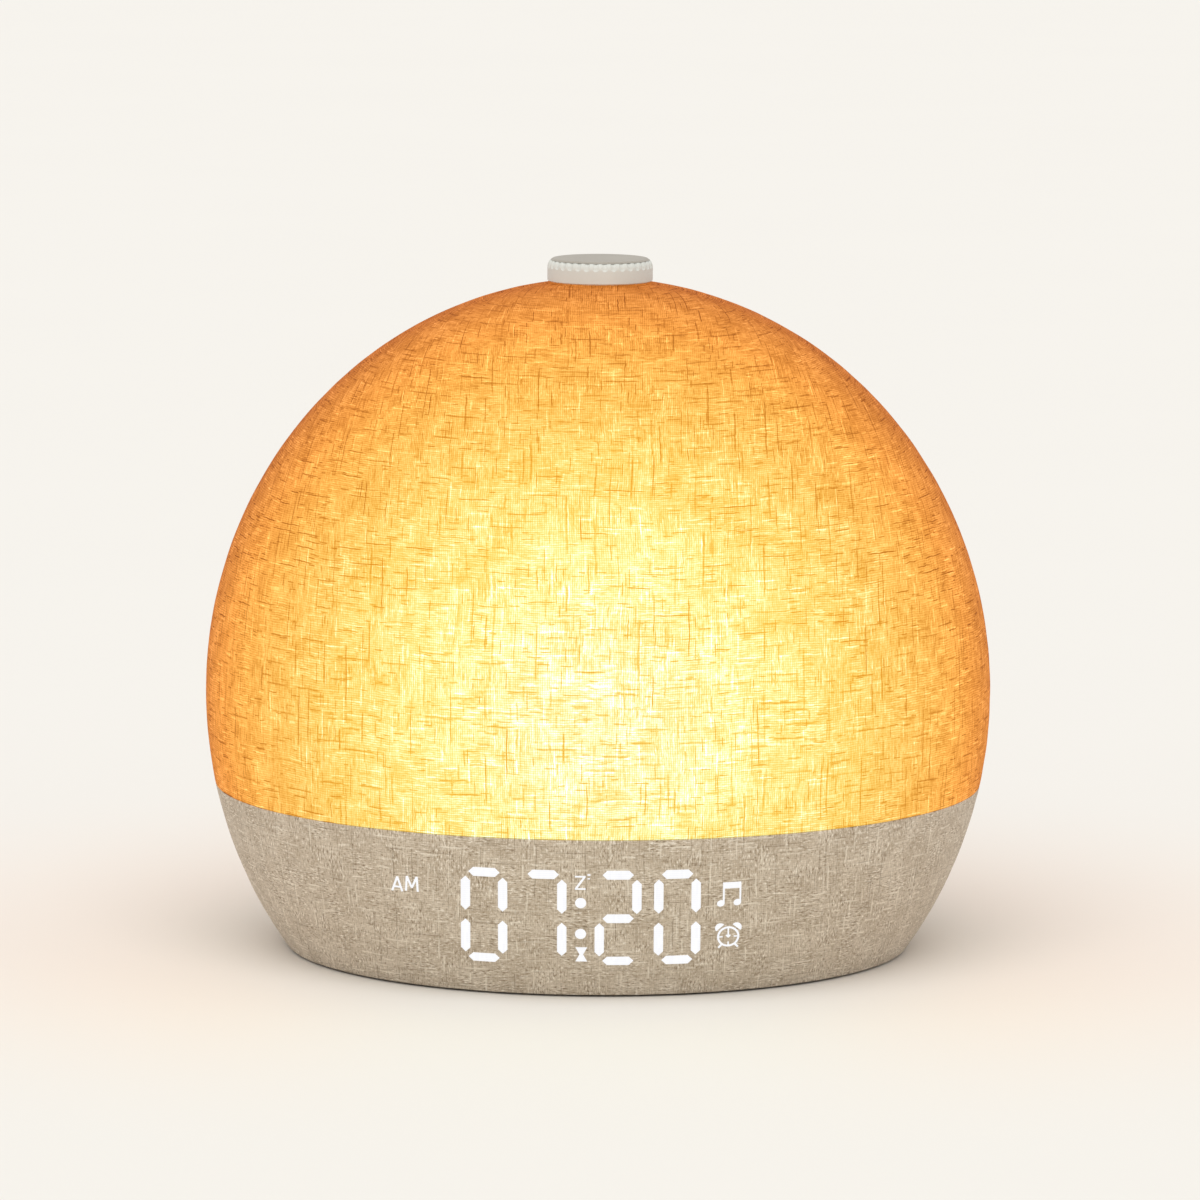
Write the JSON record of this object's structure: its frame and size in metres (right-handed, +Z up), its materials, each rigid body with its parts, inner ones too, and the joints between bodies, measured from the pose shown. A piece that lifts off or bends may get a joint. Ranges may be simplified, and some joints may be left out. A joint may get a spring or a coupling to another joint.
{
  "type": "sunrise alarm clock",
  "caption": "Bedside sunrise alarm clock: a linen-covered glowing dome on a linen base, with a lit display behind the cloth, a turning push knob, rear buttons and a down-firing speaker.",
  "frame": {"origin": "on the table under the middle of the body", "axes": "+Z up, the display faces -Y, the rear buttons and power inlet face +Y, +X to the right as seen from the front"},
  "size_m": [0.19, 0.19, 0.1671],
  "materials": {
    "dome_linen": "slubby linen lit from inside",
    "base_linen": "slubby natural linen",
    "milky_plastic": "milky diffuser",
    "white_plastic": "satin white",
    "beige_plastic": "fine matte texture",
    "foot_rubber": "matte",
    "plain_aluminium": "mill finish",
    "board_white": "white solder mask",
    "led_lit": "phosphor",
    "knob_beige": "satin",
    "knob_grey": "satin",
    "collar_pale": "satin",
    "zinc_steel": "zinc plated",
    "spring_steel": "bright",
    "screw_steel": "nickel plated",
    "black_steel": "black paint",
    "black_plastic": "moulded",
    "black_foam": "foam",
    "black_rubber": "matte",
    "board_green": "solder mask",
    "flex_amber": "polyimide film",
    "smoke_film": "smoked film",
    "display_lit": "frosted light guides, lit",
    "button_beige": "fine matte texture",
    "paper_cone": "paper cone",
    "gold_brass": "plated",
    "wire_red": "wire sleeve",
    "wire_black": "wire sleeve"
  },
  "bodies": {
    "clock": {"back_reflector": "white_plastic", "backup_battery": "spring_steel", "base_fabric": "base_linen", "base_housing": "white_plastic", "battery_contact": "gold_brass", "battery_door": "beige_plastic", "battery_door_screw": "screw_steel", "board_screws": "screw_steel", "bottom_cover": "beige_plastic", "cable_column": "white_plastic", "column_screws": "screw_steel", "cover_screws": "screw_steel", "deck_screws": "screw_steel", "display_board": "flex_amber", "display_film": "smoke_film", "display_leds": "led_lit", "display_light_box": "white_plastic", "display_ribbon": "flex_amber", "display_segments": "display_lit", "dome_diffuser": "milky_plastic", "dome_fabric": "dome_linen", "dome_screws": "screw_steel", "encoder_board": "board_green", "encoder_case": "zinc_steel", "encoder_ribbon": "flex_amber", "encoder_screws": "screw_steel", "foot_ring": "foot_rubber", "knob_collar": "collar_pale", "led_board": "board_white", "led_chips": "led_lit", "led_heat_plate": "plain_aluminium", "led_wires": "wire_red", "light_deck": "white_plastic", "main_board": "board_green", "main_board_parts": "black_plastic", "push_dome": "spring_steel", "rear_board": "board_green", "rear_board_screws": "screw_steel", "rear_panel": "beige_plastic", "speaker_basket": "black_steel", "speaker_gasket": "black_foam", "speaker_magnet": "zinc_steel", "speaker_surround": "black_rubber", "speaker_wires": "wire_black", "tact_switches": "black_plastic", "usb_receptacle": "zinc_steel", "usb_tongue": "black_plastic"},
    "rotor": {"encoder_rotor": "black_plastic"},
    "knob": {"knob": "knob_beige", "knob_cap": "knob_grey", "encoder_shaft": "zinc_steel"},
    "cone": {"speaker_cone": "paper_cone"},
    "set_button": {"set_button": "button_beige", "set_plunger": "black_plastic"},
    "alarm_button": {"alarm_button": "button_beige", "alarm_plunger": "black_plastic"},
    "down_button": {"down_button": "button_beige", "down_plunger": "black_plastic"},
    "up_button": {"up_button": "button_beige", "up_plunger": "black_plastic"}
  },
  "joints": [
    {"name": "knob_turn", "type": "hinge", "parent": "clock", "child": "rotor", "pos_m": [0, 0, 0.1493], "axis": [0, 0, 1], "continuous": true},
    {"name": "knob_press", "type": "slide", "parent": "rotor", "child": "knob", "axis": [0, 0, -1], "range_m": [0, 0.0004], "stiffness_N_per_m": 8000, "deforming": ["push_dome"]},
    {"name": "cone_stroke", "type": "slide", "parent": "clock", "child": "cone", "axis": [0, 0, 1], "range_m": [-0.0008, 0.0008], "stiffness_N_per_m": 1500, "deforming": ["speaker_surround"]},
    {"name": "set_press", "type": "slide", "parent": "clock", "child": "set_button", "axis": [0, -1, 0], "range_m": [0, 0.0003], "stiffness_N_per_m": 5000},
    {"name": "alarm_press", "type": "slide", "parent": "clock", "child": "alarm_button", "axis": [0, -1, 0], "range_m": [0, 0.0003], "stiffness_N_per_m": 5000},
    {"name": "down_press", "type": "slide", "parent": "clock", "child": "down_button", "axis": [0, -1, 0], "range_m": [0, 0.0003], "stiffness_N_per_m": 5000},
    {"name": "up_press", "type": "slide", "parent": "clock", "child": "up_button", "axis": [0, -1, 0], "range_m": [0, 0.0003], "stiffness_N_per_m": 5000}
  ]
}
